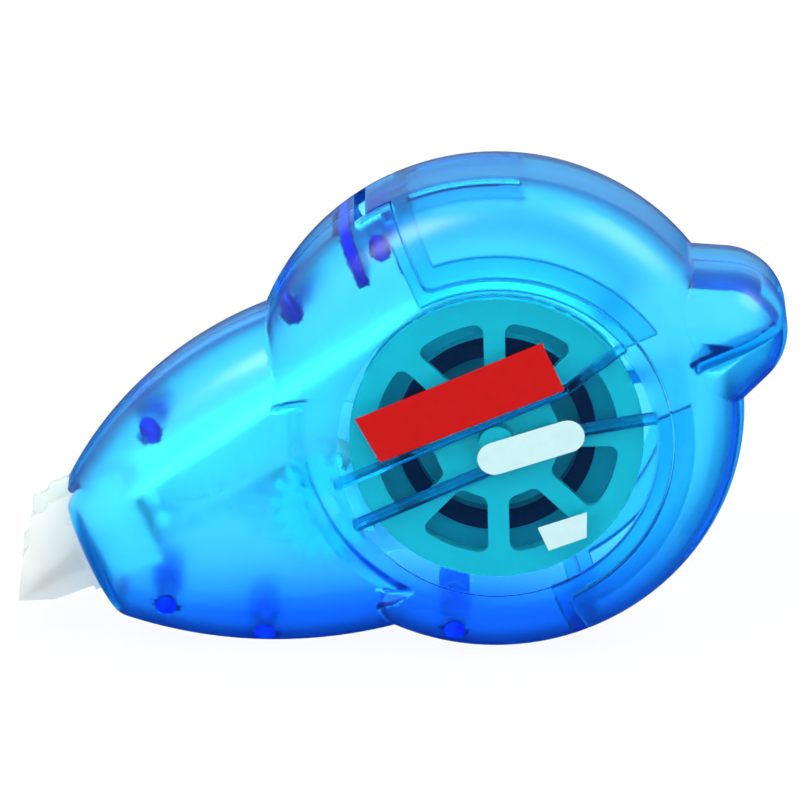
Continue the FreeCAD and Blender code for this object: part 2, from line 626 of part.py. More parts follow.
def draw_outline(sketch, corners):
    """Closed outline of straight lines through corners given as sheet expressions."""
    spots = [Vector(number(x), number(y), 0) for x, y in corners]
    for start, end in zip(spots, spots[1:] + spots[:1]):
        sketch.addGeometry(Part.LineSegment(start, end), False)
    for index, (x, y) in enumerate(corners):
        before = (index - 1) % len(corners)
        sketch.addConstraint(Sketcher.Constraint("Coincident", before, 2, index, 1))
        hold(sketch, x, "DistanceX", -1, 1, index, 1)
        hold(sketch, y, "DistanceY", -1, 1, index, 1)


def turned(label, place, corners):
    """Body turned about its own Y axis from an outline of (radius, y) corners."""
    body = new_body(label, place)
    sketch = new_sketch(body, "XY_Plane", "0")
    draw_outline(sketch, corners)
    feature = body.newObject("PartDesign::Revolution", "turning")
    feature.Profile = sketch
    feature.ReferenceAxis = (sketch, ["V_Axis"])
    feature.Angle = 360
    return body


def pad(body, sketch, length):
    feature = body.newObject("PartDesign::Pad", "pad")
    feature.Profile = sketch
    feature.setExpression("Length", length)
    return feature


def plate(body, back, thickness, corners):
    """Straight-sided plate square to Y: its far face at y = back, growing towards the near side."""
    sketch = new_sketch(body, "XZ_Plane", f"-({back})")
    draw_outline(sketch, corners)
    return pad(body, sketch, thickness)


def stud(body, back, length, radius, u="0", w="0"):
    """Round stud along Y: its far end at y = back, growing towards the near side."""
    sketch = new_sketch(body, "XZ_Plane", f"-({back})")
    centre = Vector(number(u), number(w), 0)
    sketch.addGeometry(Part.Circle(centre, Vector(0, 0, 1), number(radius)), False)
    hold(sketch, radius, "Radius", 0)
    hold(sketch, u, "DistanceX", -1, 1, 0, 3)
    hold(sketch, w, "DistanceY", -1, 1, 0, 3)
    return pad(body, sketch, length)


def supply_spool(place):
    """Spool that carries the new tape: hub, core, near flange and the clutch's seat."""
    bore = "dim.axle_radius + dim.bore_gap"
    hub = f"{bore} + dim.hub_wall"
    hub_end = f"{PLATE_FACE} - dim.axial_gap"
    return turned("supply_spool", place, [
        (bore, hub_end),
        (hub, hub_end),
        (hub, f"-{TAPE_SIDE}"),
        ("dim.core_radius - dim.core_wall", f"-{TAPE_SIDE}"),
        ("dim.core_radius - dim.core_wall", TAPE_HALF),
        ("dim.core_radius", TAPE_HALF),
        ("dim.core_radius", f"-{TAPE_SIDE}"),
        ("dim.spool_flange_radius", f"-{TAPE_SIDE}"),
        ("dim.spool_flange_radius", f"-{SPOOL_FACE}"),
        ("dim.clutch_outer", f"-{SPOOL_FACE}"),
        ("dim.clutch_outer", f"-{SEAT_FACE}"),
        ("dim.clutch_inner", f"-{SEAT_FACE}"),
        ("dim.clutch_inner", f"-{SPOOL_FACE}"),
        (bore, f"-{SPOOL_FACE}"),
    ])


def clutch_ring(place):
    """Rubber ring pinched between spool and wheel, so that the spool slips when the tape is full."""
    return turned("clutch_ring", place, [
        ("dim.clutch_inner", f"-{SEAT_FACE}"),
        ("dim.clutch_outer", f"-{SEAT_FACE}"),
        ("dim.clutch_outer", f"-{WHEEL_BACK}"),
        ("dim.clutch_inner", f"-{WHEEL_BACK}"),
    ])


def tape_ring(label, place, inner, outer):
    """Tape wound on a core, a plain ring as wide as the tape."""
    return turned(label, place, [
        (f"{inner} + dim.band_gap", TAPE_HALF),
        (outer, TAPE_HALF),
        (outer, f"-{TAPE_HALF}"),
        (f"{inner} + dim.band_gap", f"-{TAPE_HALF}"),
    ])


def take_up_spool(place):
    """Spool that winds the used backing: cored out, with one flange on the plate's side."""
    bore = "dim.take_up_axle_radius + dim.bore_gap"
    hub = f"{bore} + dim.hub_wall"
    flange_back = f"{TAPE_SIDE} + dim.take_up_flange_thick"
    return turned("take_up_spool", place, [
        (bore, f"-{TAKE_UP_NEAR}"),
        (hub, f"-{TAKE_UP_NEAR}"),
        (hub, TAPE_HALF),
        ("dim.take_up_core_radius - dim.core_wall", TAPE_HALF),
        ("dim.take_up_core_radius - dim.core_wall", f"-{TAKE_UP_NEAR}"),
        ("dim.take_up_core_radius", f"-{TAKE_UP_NEAR}"),
        ("dim.take_up_core_radius", TAPE_SIDE),
        ("dim.take_up_flange_radius", TAPE_SIDE),
        ("dim.take_up_flange_radius", flange_back),
        (hub, flange_back),
        (hub, f"{PLATE_FACE} - dim.axial_gap"),
        (bore, f"{PLATE_FACE} - dim.axial_gap"),
    ])


def supply_hub_cap(place):
    """Cap pressed on the axle's stub; it holds the wheel and runs between the near runners."""
    bore = "dim.stub_radius + dim.bore_gap / 2"
    back = f"-({WHEEL_FACE} + dim.side_gap)"
    return turned("supply_hub_cap", place, [
        (bore, back),
        ("dim.cap_radius", back),
        ("dim.cap_radius", f"{back} - dim.cap_high"),
        ("0", f"{back} - dim.cap_high"),
        ("0", f"{back} - dim.cap_high + dim.cap_wall"),
        (bore, f"{back} - dim.cap_high + dim.cap_wall"),
    ])


def base_plate(place):
    """Base plate of the refill: round at the supply spool, with axles, guide pins and a neck."""
    body = new_body("refill_base", place)
    stud(body, PLATE_BACK, "dim.plate_thick", "dim.plate_radius")
    plate(body, PLATE_BACK, "dim.plate_thick", [
        ("0", "dim.plate_radius"),
        (f"-{NECK_ROOT}", "dim.neck_top"),
        (f"-{NECK_FRONT}", "dim.neck_top"),
        (f"-{NECK_FRONT}", "dim.neck_low"),
        (f"-{NECK_ROOT}", "dim.neck_low"),
        (TAKE_UP_U, "-dim.plate_belly"),
        ("0", "-dim.plate_radius"),
    ])
    stud(body, f"{PLATE_BACK} + dim.key_reach", "dim.key_reach", "dim.cap_radius")
    shaft = f"{PLATE_FACE} + {WHEEL_FACE} + dim.side_gap"
    stud(body, PLATE_FACE, shaft, "dim.axle_radius")
    stub = f"{shaft} + dim.cap_high - dim.cap_wall - dim.side_gap"
    stud(body, PLATE_FACE, stub, "dim.stub_radius")
    shaft = f"{PLATE_FACE} + {WHEEL_BACK} - dim.pinion_offset + dim.axial_gap"
    stud(body, PLATE_FACE, shaft, "dim.take_up_axle_radius", TAKE_UP_U)
    head = f"{PLATE_FACE} - ({shaft})"
    stud(body, head, "dim.snap_high", "dim.take_up_axle_radius + dim.snap_lip", TAKE_UP_U)
    for level in ("dim.upper_pin_level", "dim.lower_pin_level"):
        stud(body, PLATE_FACE, f"{PLATE_FACE} + {TAPE_SIDE}", "dim.pin_radius", f"-{PIN_BACK}", level)
    return body


def tip_frame(place):
    """Clear tip: two stepped guards joined by a bridge, with a collar strip on each."""
    body = new_body("tip_frame", place)
    guard = [
        (f"-{GUARD_BACK}", "dim.guard_top"),
        (f"-{SHOULDER}", "dim.guard_top"),
        (f"-{SHOULDER} - dim.guard_drop", "dim.guard_top - dim.guard_drop"),
        ("-dim.nose_reach - dim.guard_step", "dim.guard_top - dim.guard_drop"),
        ("-dim.nose_reach - dim.guard_knee", "dim.guard_knee_level"),
        ("-dim.nose_reach - dim.guard_chin", "dim.guard_chin_level"),
        (f"-{APEX}", "dim.apex_level"),
        ("-dim.nose_reach - dim.guard_heel", "dim.guard_heel_level"),
        (f"-{GUARD_BACK}", "dim.guard_low"),
    ]
    plate(body, "dim.guard_wall - dim.tip_half", "dim.guard_wall", guard)
    plate(body, "dim.tip_half", "dim.guard_wall", guard)
    collar_back = "(dim.nose_reach + dim.mouth_gap)"
    collar = [
        (f"-{collar_back}", "dim.collar_top"),
        (f"-{collar_back} - dim.collar_width", "dim.collar_top"),
        (f"-{collar_back} - dim.collar_width", "dim.guard_low"),
        (f"-{collar_back}", "dim.guard_low"),
    ]
    plate(body, "-dim.tip_half", "dim.collar_thick", collar)
    plate(body, "dim.tip_half + dim.collar_thick", "dim.collar_thick", collar)
    plate(body, "dim.tip_half", "2 * dim.tip_half", [
        (f"-{GUARD_BACK}", "dim.bridge_top"),
        (f"-{BRIDGE_FRONT}", "dim.bridge_top"),
        (f"-{BRIDGE_FRONT}", "dim.bridge_low"),
        (f"-{GUARD_BACK}", "dim.bridge_low"),
    ])
    return body


def tip_wedge(place):
    """Wedge that presses the tape on the paper, held by the bridge between the guards."""
    body = new_body("tip_wedge", place)
    inner = "(dim.tip_half - dim.guard_wall)"
    edge = f"({APEX} - dim.wedge_inset)"
    level = "(dim.apex_level + dim.wedge_edge + dim.side_gap)"
    plate(body, inner, f"2 * {inner}", [
        (f"-{BRIDGE_FRONT}", "dim.wedge_top"),
        (f"-{edge} + dim.wedge_edge", f"{level} + dim.wedge_edge"),
        (f"-{edge}", level),
        (f"-{edge} + dim.wedge_edge", f"{level} - dim.wedge_edge"),
        (f"-{BRIDGE_FRONT}", "dim.wedge_low"),
    ])
    return body


# ---------------------------------------------------------------- tape between roll, tip and spool
def tangent_spot(u, radius, outside, side):
    """Where the line from a point outside touches a circle on the slide axis."""
    reach = math.hypot(outside.x - u, outside.z)
    heading = math.atan2(outside.z, outside.x - u)
    turn = heading + side * math.acos(radius / reach)
    return Vector(u + radius * math.cos(turn), 0, radius * math.sin(turn))


def tape_path():
    """Corners of the tape's path: off the supply roll, round the wedge, on to the take-up spool."""
    edge = nose_reach + apex_reach - wedge_inset
    level = apex_level + wedge_edge + side_gap
    pins = nose_reach - pin_back
    root = nose_reach - guard_back + bridge_long
    upper = Vector(-pins, 0, upper_pin_level + pin_radius + band_gap)
    lower = Vector(-pins, 0, lower_pin_level - pin_radius - band_gap)
    return [
        tangent_spot(0, roll_radius + roll_gap, upper, -1),
        upper,
        Vector(-root, 0, wedge_top + band_gap),
        Vector(-edge + wedge_edge, 0, level + wedge_edge + band_gap),
        Vector(-edge - band_gap, 0, level),
        Vector(-edge + wedge_edge, 0, level - wedge_edge - band_gap),
        Vector(-root, 0, wedge_low - band_gap),
        lower,
        tangent_spot(take_up_u, used_roll_radius + roll_gap, lower, -1),
    ]


def outer_side(path):
    """The same corners moved out by the tape's thickness, away from wedge and pins."""
    moved = []
    for index, spot in enumerate(path):
        sides = []
        for start, end in ((index - 1, index), (index, index + 1)):
            if 0 <= start and end < len(path):
                run = (path[end] - path[start]).normalize()
                sides.append(Vector(run.z, 0, -run.x))
        normal = sides[0] + sides[-1]
        moved.append(spot + normal * (band_thick * 2 / normal.dot(normal)))
    return moved


def tape_run(first, last):
    """One run of tape as a thin closed band between two corners of the path."""
    path = tape_path()
    outer = outer_side(path)
    corners = path[first:last + 1] + outer[first:last + 1][::-1]
    corners = [corner - Vector(0, tape_half, 0) for corner in corners]
    return Part.Face(Part.makePolygon(corners + corners[:1])).extrude(Vector(0, tape_width, 0))


# ---------------------------------------------------------------- assembly
wheel_back = number(WHEEL_BACK)
wheel_face = number(WHEEL_FACE)
spool_face = number(SPOOL_FACE)
take_up_near = number(TAKE_UP_NEAR)
upright = Rotation(Vector(0, 1, 0), 0)
at_supply = Placement(slide_frame.Base, upright)
at_take_up = Placement(slide_frame.multVec(Vector(take_up_u, 0, 0)), upright)
turned_take_up = Placement(at_take_up.Base, slide_frame.Rotation)

pieces = [
    add_piece("near_shell", half_case(-1), Placement()),
    add_piece("far_shell", half_case(1), Placement()),
    add_piece("rear_cap", rear_cap(), Placement()),
    base_plate(slide_frame),
    tip_frame(slide_frame),
    tip_wedge(slide_frame),
    supply_hub_cap(at_supply),
    add_piece("supply_gear", supply_gear(), slide_frame),
    supply_spool(at_supply),
    clutch_ring(at_supply),
    tape_ring("tape_roll", at_supply, "dim.core_radius", "dim.roll_radius"),
    add_piece("take_up_gear", take_up_gear(), turned_take_up),
    take_up_spool(at_take_up),
    tape_ring("used_tape_roll", at_take_up, "dim.take_up_core_radius", "dim.used_roll_radius"),
    add_piece("tape_to_tip", tape_run(0, 4), slide_frame),
    add_piece("tape_from_tip", tape_run(4, 8), slide_frame),
]

doc.recompute()
for item in doc.Objects:
    if "Invalid" in item.State or "Error" in item.State:
        raise RuntimeError(f"{item.Name} ({item.Label}) failed: {item.State}")
os.makedirs("parts", exist_ok=True)
for piece in pieces:
    shape = piece.Shape
    if shape.isNull() or not shape.isValid() or len(shape.Solids) != 1:
        raise RuntimeError(f"{piece.Label} is not one valid solid")
    print(piece.Label, round(shape.Volume, 1))
for piece in pieces:
    piece.Shape.exportStep(f"parts/{piece.Label}.step")
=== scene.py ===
"""Refillable correction tape roller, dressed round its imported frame.

The case stands on its bottom edge: +Z up, +X towards the thumb lobe, -Y towards the viewer.
All lengths are metres unless a name ends in _mm.
"""
import math

import bmesh
import bpy
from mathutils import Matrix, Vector


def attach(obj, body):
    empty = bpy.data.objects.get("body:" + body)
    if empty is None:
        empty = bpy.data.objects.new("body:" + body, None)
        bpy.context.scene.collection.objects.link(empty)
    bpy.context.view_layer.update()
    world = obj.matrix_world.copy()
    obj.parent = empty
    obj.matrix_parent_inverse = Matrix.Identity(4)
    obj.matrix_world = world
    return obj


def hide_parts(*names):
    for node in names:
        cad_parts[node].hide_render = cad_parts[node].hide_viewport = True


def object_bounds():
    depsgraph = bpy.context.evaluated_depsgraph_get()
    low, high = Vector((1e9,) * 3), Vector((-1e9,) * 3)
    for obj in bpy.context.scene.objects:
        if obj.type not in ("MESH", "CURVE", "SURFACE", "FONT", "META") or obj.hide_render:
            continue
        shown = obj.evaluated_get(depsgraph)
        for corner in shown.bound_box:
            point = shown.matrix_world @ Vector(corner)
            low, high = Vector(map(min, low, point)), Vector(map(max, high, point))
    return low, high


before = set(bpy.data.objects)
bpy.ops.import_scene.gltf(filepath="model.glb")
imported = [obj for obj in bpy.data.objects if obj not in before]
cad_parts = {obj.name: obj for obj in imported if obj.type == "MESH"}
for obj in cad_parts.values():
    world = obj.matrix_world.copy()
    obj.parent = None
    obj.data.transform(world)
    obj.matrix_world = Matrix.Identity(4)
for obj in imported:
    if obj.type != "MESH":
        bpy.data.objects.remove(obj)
cad_low, cad_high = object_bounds()
MM = 0.001
scene = bpy.context.scene


# ---------------------------------------------------------------- desk, backdrop, lamps, camera
# The roller stands on a white laminate desk in front of a white backdrop, under two soft boxes.
# Desk and sky look plain white, are dimmer in a single mirroring, and brighter through the case.
def linear(code):
    """Linear colour of an sRGB hex value."""
    channels = [int(code[i:i + 2], 16) / 255 for i in (0, 2, 4)]
    return [c / 12.92 if c <= 0.04045 else ((c + 0.055) / 1.055) ** 2.4 for c in channels] + [1.0]


def add_node(tree, kind, settings=None, **inputs):
    """Add one node; an input is named or iN, and takes a value or another node's output socket."""
    made = tree.nodes.new(kind)
    for name, value in (settings or {}).items():
        setattr(made, name, value)
    for name, value in inputs.items():
        socket = made.inputs[int(name[1:])] if name[1:].isdigit() else made.inputs[name.replace("_", " ")]
        if isinstance(value, bpy.types.NodeSocket):
            tree.links.new(value, socket)
        else:
            socket.default_value = value
    return made


def new_material(name):
    """An empty node material and its tree."""
    material = bpy.data.materials.new(name)
    material.use_nodes = True
    material.node_tree.nodes.clear()
    return material, material.node_tree


def finish_material(tree, surface, volume=None):
    """Link a surface, and a volume where there is one, to the material's output."""
    output = tree.nodes.new("ShaderNodeOutputMaterial")
    tree.links.new(surface, output.inputs["Surface"])
    if volume is not None:
        tree.links.new(volume, output.inputs["Volume"])


# Strengths of the sky, where 1 is white: as a lamp, in a single mirroring, straight through
# clear or milky plastic, and as it lights what lies behind or in that plastic.
PLAIN_SKY = 0.85
MIRRORED_SKY = 0.5
SKY_THROUGH_CASE = 3.2
SKY_ON_INSIDE = 9.0
world = bpy.data.worlds.new("white_backdrop")
scene.world = world
world.use_nodes = True
sky = world.node_tree
sky.nodes.clear()
path = add_node(sky, "ShaderNodeLightPath")
inside = add_node(sky, "ShaderNodeMapRange", Value=path.outputs["Diffuse Depth"],
                  To_Min=SKY_THROUGH_CASE, To_Max=SKY_ON_INSIDE)
through = add_node(sky, "ShaderNodeMapRange", Value=path.outputs["Is Transmission Ray"],
                   To_Min=PLAIN_SKY, To_Max=inside.outputs[0])
mirrored_once = add_node(sky, "ShaderNodeMath", {"operation": "COMPARE"},
                         i0=path.outputs["Glossy Depth"], i1=1.0, i2=0.1)
dimmed = add_node(sky, "ShaderNodeMapRange", Value=mirrored_once.outputs[0],
                  To_Min=through.outputs[0], To_Max=MIRRORED_SKY)
strength = add_node(sky, "ShaderNodeMapRange", Value=path.outputs["Is Camera Ray"],
                    To_Min=dimmed.outputs[0], To_Max=1.0)
backdrop = add_node(sky, "ShaderNodeBackground", Color=linear("FFFFFF"), Strength=strength.outputs[0])
sky_output = sky.nodes.new("ShaderNodeOutputWorld")
sky.links.new(backdrop.outputs[0], sky_output.inputs["Surface"])

DESK_HALF = 3.0
DESK_CLEARANCE = 0.1 * MM
desk_mesh = bmesh.new()
bmesh.ops.create_grid(desk_mesh, x_segments=1, y_segments=1, size=DESK_HALF)
bmesh.ops.translate(desk_mesh, verts=desk_mesh.verts, vec=(0, 0, cad_low.z - DESK_CLEARANCE))
desk_data = bpy.data.meshes.new("desk")
desk_mesh.to_mesh(desk_data)
desk_mesh.free()
desk = bpy.data.objects.new("desk", desk_data)
scene.collection.objects.link(desk)

# White melamine laminate, matt: it shows no grain and no mirror image.
# Seen through the case it shows a painted pool of blue light near the roller, standing in for light that
# came through the blue plastic, and is white from 79 mm out in X and 39 mm out in Y.
WHITE_SHARE = 0.93
OVAL_SCALE = (14, 28, 0)
BLUE_WITHIN, WHITE_BEYOND = 0.3, 1.1
BLUE_STRENGTH, FAR_STRENGTH = 1.7, 1.45
material, tree = new_material("white_laminate")
path = add_node(tree, "ShaderNodeLightPath")
painted = add_node(tree, "ShaderNodeBsdfDiffuse", Color=linear("F4F5F6"))
plain_white = add_node(tree, "ShaderNodeEmission", Color=linear("FFFFFF"), Strength=1.0)
seen_directly = add_node(tree, "ShaderNodeMath", {"operation": "MULTIPLY"},
                         i0=path.outputs["Is Camera Ray"], i1=WHITE_SHARE)
laminate = add_node(tree, "ShaderNodeMixShader", i0=seen_directly.outputs[0],
                    i1=painted.outputs[0], i2=plain_white.outputs[0])
oval = add_node(tree, "ShaderNodeVectorMath", {"operation": "MULTIPLY"},
                i0=add_node(tree, "ShaderNodeTexCoord").outputs["Object"], i1=OVAL_SCALE)
distance = add_node(tree, "ShaderNodeVectorMath", {"operation": "LENGTH"}, i0=oval.outputs[0])
fade = add_node(tree, "ShaderNodeMapRange", Value=distance.outputs["Value"],
                From_Min=BLUE_WITHIN, From_Max=WHITE_BEYOND)
painted_glow_hue = add_node(tree, "ShaderNodeMix", {"data_type": "RGBA"}, i0=fade.outputs[0],
               i6=linear("3478FF"), i7=linear("FFFFFF"))
strength = add_node(tree, "ShaderNodeMapRange", Value=fade.outputs[0],
                    To_Min=BLUE_STRENGTH, To_Max=FAR_STRENGTH)
# Painted blue glow: emission on the desk, seen only through the case.
painted_blue_glow = add_node(tree, "ShaderNodeEmission", Color=painted_glow_hue.outputs[2], Strength=strength.outputs[0])
lit = add_node(tree, "ShaderNodeMixShader", i0=path.outputs["Is Transmission Ray"],
               i1=laminate.outputs[0], i2=painted_blue_glow.outputs[0])
mirrored_once = add_node(tree, "ShaderNodeMath", {"operation": "COMPARE"},
                         i0=path.outputs["Glossy Depth"], i1=1.0, i2=0.1)
# In a single mirroring the desk is a dim blue diffuse: a painted darker reflection.
painted_dim_reflection = add_node(tree, "ShaderNodeBsdfDiffuse", Color=linear("4070C0"))
whole = add_node(tree, "ShaderNodeMixShader", i0=mirrored_once.outputs[0],
                 i1=lit.outputs[0], i2=painted_dim_reflection.outputs[0])
finish_material(tree, whole.outputs[0])
desk.data.materials.append(material)


def soft_box(name, place, side, power):
    """Square soft box pointed at the middle of the roller."""
    middle = (cad_low + cad_high) / 2
    lamp = bpy.data.lights.new(name, "AREA")
    lamp.shape = "SQUARE"
    lamp.size = side
    lamp.energy = power
    holder = bpy.data.objects.new(name, lamp)
    holder.location = place
    holder.rotation_mode = "QUATERNION"
    holder.rotation_quaternion = (middle - Vector(place)).to_track_quat("-Z", "Y")
    scene.collection.objects.link(holder)


soft_box("key_soft_box", (-0.30, -0.42, 0.55), side=0.30, power=2.4)
soft_box("fill_soft_box", (0.45, -0.10, 0.50), side=0.35, power=1.6)

# FIELD is the width of the view at the roller, and STAND_OFF the camera's distance from it.
ELEVATION = math.radians(20)
FIELD = 101.6 * MM
STAND_OFF = 1.2
AIM = Vector((-0.19, 0, 31.26)) * MM
lens = bpy.data.cameras.new("camera")
lens.sensor_width = 36
lens.lens = lens.sensor_width * STAND_OFF / FIELD
lens.clip_start, lens.clip_end = 0.05, 10
camera = bpy.data.objects.new("camera", lens)
scene.collection.objects.link(camera)
towards_camera = Vector((0, -math.cos(ELEVATION), math.sin(ELEVATION)))
camera.location = AIM + towards_camera * STAND_OFF
camera.rotation_mode = "QUATERNION"
camera.rotation_quaternion = (-towards_camera).to_track_quat("-Z", "Y")
scene.camera = camera
scene.view_settings.view_transform = "Standard"


# ---------------------------------------------------------------- front case: near and far shell
# Two halves moulded in frosted, tinted polypropylene, pressed together on their posts.
# The tint is in the plastic, so walls seen edge-on are a deeper blue than walls seen through.
SPOOL = Vector((12.0, 0, 29.2)) * MM
WINDOW_RADIUS = 20.1 * MM
BEHIND_WINDOW = -10.2 * MM
PARTING_GAP = 0.04 * MM
PARTING_LINE = 0.14 * MM
MASK_FADE = 0.1 * MM
SAME_SPOT = 0.0005 * MM
NO_LENGTH = 0.0002 * MM
ON_PLANE = 0.001 * MM
SHARP_EDGE = math.radians(32)
FLAT_ENOUGH = math.radians(0.1)


def below(tree, distance, limit):
    """1 where a distance is below a limit, fading to 0 just past it."""
    return add_node(tree, "ShaderNodeMapRange", Value=distance, From_Min=limit,
                    From_Max=limit + MASK_FADE, To_Min=1.0, To_Max=0.0).outputs[0]


def case_plastic(name, parted):
    """Clarified polypropylene, moulded, with a blue tint all through.

    The frosted skin blurs what is inside and softens every highlight. The window is polished and
    clear. A parted moulding also has polished mating faces, whose edge is a thin, deeper blue line.
    The tint takes away red first and green next, so thick plastic goes from cyan to deep blue.
    The frosting's real grain is too fine to show, so it is drawn coarser, at 0.45 mm.
    """
    material, tree = new_material(name)
    spot = add_node(tree, "ShaderNodeTexCoord").outputs["Object"]
    from_spool = add_node(tree, "ShaderNodeVectorMath", {"operation": "SUBTRACT"}, i0=spot, i1=SPOOL)
    square_to_axle = add_node(tree, "ShaderNodeVectorMath", {"operation": "MULTIPLY"},
                              i0=from_spool.outputs[0], i1=(1, 0, 1))
    radius = add_node(tree, "ShaderNodeVectorMath", {"operation": "LENGTH"}, i0=square_to_axle.outputs[0])
    depth = add_node(tree, "ShaderNodeSeparateXYZ", i0=spot).outputs["Y"]
    window = add_node(tree, "ShaderNodeMath", {"operation": "MULTIPLY"},
                      i0=below(tree, radius.outputs["Value"], WINDOW_RADIUS),
                      i1=below(tree, depth, BEHIND_WINDOW))
    polish, line = window.outputs[0], 0.0
    if parted:
        off_parting = add_node(tree, "ShaderNodeMath", {"operation": "ABSOLUTE"}, i0=depth).outputs[0]
        polish = add_node(tree, "ShaderNodeMath", {"operation": "MAXIMUM"},
                          i0=polish, i1=below(tree, off_parting, 2 * PARTING_GAP)).outputs[0]
        line = below(tree, off_parting, PARTING_LINE)
    grain = add_node(tree, "ShaderNodeTexNoise", Vector=spot, Scale=1 / (0.45 * MM), Detail=3.0)
    rough = add_node(tree, "ShaderNodeMapRange", Value=polish, To_Min=0.28, To_Max=0.03)
    height = add_node(tree, "ShaderNodeMapRange", Value=polish, To_Min=0.8, To_Max=0.05)
    bump = add_node(tree, "ShaderNodeBump", Height=grain.outputs["Fac"], Distance=0.005 * MM,
                    Strength=height.outputs[0])
    tint = add_node(tree, "ShaderNodeMix", {"data_type": "RGBA"}, i0=line,
                    i6=linear("FFFFFF"), i7=linear("3A5CE0"))
    surface = add_node(tree, "ShaderNodeBsdfPrincipled", Base_Color=tint.outputs[2],
                       Roughness=rough.outputs[0], IOR=1.49, Transmission_Weight=1.0,
                       Normal=bump.outputs["Normal"])
    body = add_node(tree, "ShaderNodeVolumeAbsorption", Color=linear("8CF1FF"), Density=1450.0)
    finish_material(tree, surface.outputs[0], body.outputs[0])
    return material


def moulded_copy(node, name, body, material):
    """A merged copy of a CAD node, smooth up to its real edges, that takes the node's place."""
    shape = bmesh.new()
    shape.from_mesh(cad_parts[node].data)
    bmesh.ops.remove_doubles(shape, verts=shape.verts, dist=SAME_SPOT)
    bmesh.ops.dissolve_degenerate(shape, edges=shape.edges, dist=NO_LENGTH)
    bmesh.ops.recalc_face_normals(shape, faces=shape.faces)
    bmesh.ops.dissolve_limit(shape, angle_limit=FLAT_ENOUGH, verts=shape.verts, edges=shape.edges)
    mesh = bpy.data.meshes.new(name)
    shape.to_mesh(mesh)
    shape.free()
    mesh.materials.clear()
    mesh.materials.append(material)
    for face in mesh.polygons:
        face.material_index = 0
        face.use_smooth = True
    mesh.set_sharp_from_angle(angle=SHARP_EDGE)
    piece = bpy.data.objects.new(name, mesh)
    scene.collection.objects.link(piece)
    weighted = piece.modifiers.new("flat_faces_stay_flat", "WEIGHTED_NORMAL")
    weighted.mode = "FACE_AREA_WITH_ANGLE"
    weighted.keep_sharp = True
    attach(piece, body)
    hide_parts(node)
    return piece


front_plastic = case_plastic("frosted_blue_polypropylene_parted", parted=True)
near_case = moulded_copy("near_shell", "near_case", "case", front_plastic)
far_case = moulded_copy("far_shell", "far_case", "case", front_plastic)
# The mating faces are drawn a hair apart, so that the parting shows as a line.
for piece, side in ((near_case, -1), (far_case, 1)):
    for vertex in piece.data.vertices:
        if abs(vertex.co.y) < ON_PLANE:
            vertex.co.y = side * PARTING_GAP


# ---------------------------------------------------------------- rear cap
# One moulding in the same plastic, with the thumb lobe and the latch tongue.
# It slides on from behind, over the lip of the front case.
cap_plastic = case_plastic("frosted_blue_polypropylene", parted=False)
moulded_copy("rear_cap", "rear_case", "cap", cap_plastic)


# ---------------------------------------------------------------- print on the window
# Screen-printed ink on the polished window: a plain red band, a pale capsule and a pale patch.
# The ink film is thin, and the capsule climbs a little less steeply than the slide axis.
WINDOW_FACE = -11.602 * MM
INK_THICK = 0.02 * MM
CAPSULE_LEAN = math.radians(18)
CAPSULE_LONG_MM = 14.0
CAPSULE_HIGH_MM = 4.3


def ink(name, colour, shade):
    """Matt screen ink, slightly uneven: it hides the plastic and gives no sharp highlight."""
    material, tree = new_material(name)
    spot = add_node(tree, "ShaderNodeTexCoord").outputs["Object"]
    cloud = add_node(tree, "ShaderNodeTexNoise", Vector=spot, Scale=1 / (1.5 * MM), Detail=3.0)
    tint = add_node(tree, "ShaderNodeMix", {"data_type": "RGBA"}, i0=cloud.outputs["Fac"],
                    i6=linear(colour), i7=linear(shade))
    rough = add_node(tree, "ShaderNodeMapRange", Value=cloud.outputs["Fac"], To_Min=0.5, To_Max=0.65)
    surface = add_node(tree, "ShaderNodeBsdfPrincipled", Base_Color=tint.outputs[2],
                       Roughness=rough.outputs[0], IOR=1.5, Specular_IOR_Level=0.15)
    finish_material(tree, surface.outputs[0])
    return material


def print_patch(name, corners_mm, material, rounding=0.0):
    """Thin film of ink on the window from its (X, Z) corners in order, rounded where asked."""
    shape = bmesh.new()
    corners = [shape.verts.new((x * MM, WINDOW_FACE, z * MM)) for x, z in corners_mm]
    shape.faces.new(corners)
    if rounding:
        bmesh.ops.bevel(shape, geom=corners, offset=rounding, affect="VERTICES",
                        segments=6, profile=0.5, material=-1)
        bmesh.ops.remove_doubles(shape, verts=shape.verts, dist=ON_PLANE)
    grown = bmesh.ops.extrude_face_region(shape, geom=shape.faces[:])
    front = [item for item in grown["geom"] if isinstance(item, bmesh.types.BMVert)]
    bmesh.ops.translate(shape, verts=front, vec=(0, -INK_THICK, 0))
    bmesh.ops.recalc_face_normals(shape, faces=shape.faces)
    mesh = bpy.data.meshes.new(name)
    shape.to_mesh(mesh)
    shape.free()
    mesh.materials.append(material)
    piece = bpy.data.objects.new(name, mesh)
    scene.collection.objects.link(piece)
    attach(piece, "case")


def leaning_bar(x, z, long, high, lean):
    """Corners of a bar about its middle, turned up by the angle `lean`."""
    along = Vector((math.cos(lean), math.sin(lean))) * long / 2
    across = Vector((-math.sin(lean), math.cos(lean))) * high / 2
    middle = Vector((x, z))
    return [middle - along - across, middle + along - across, middle + along + across,
            middle - along + across]


red_ink = ink("red_screen_ink", "BE0202", "AE0000")
pale_ink = ink("pale_screen_ink", "BCDCDC", "B0D2D4")
print_patch("red_band", [(-5.9, 32.9), (17.6, 43.1), (20.5, 36.8), (-2.7, 27.1)], red_ink)
print_patch("pale_capsule", leaning_bar(16.3, 29.1, CAPSULE_LONG_MM, CAPSULE_HIGH_MM, CAPSULE_LEAN),
            pale_ink, rounding=CAPSULE_HIGH_MM / 2 * MM)
print_patch("pale_patch", [(17.2, 18.3), (23.4, 20.4), (23.4, 17.0), (18.6, 15.2)], pale_ink)


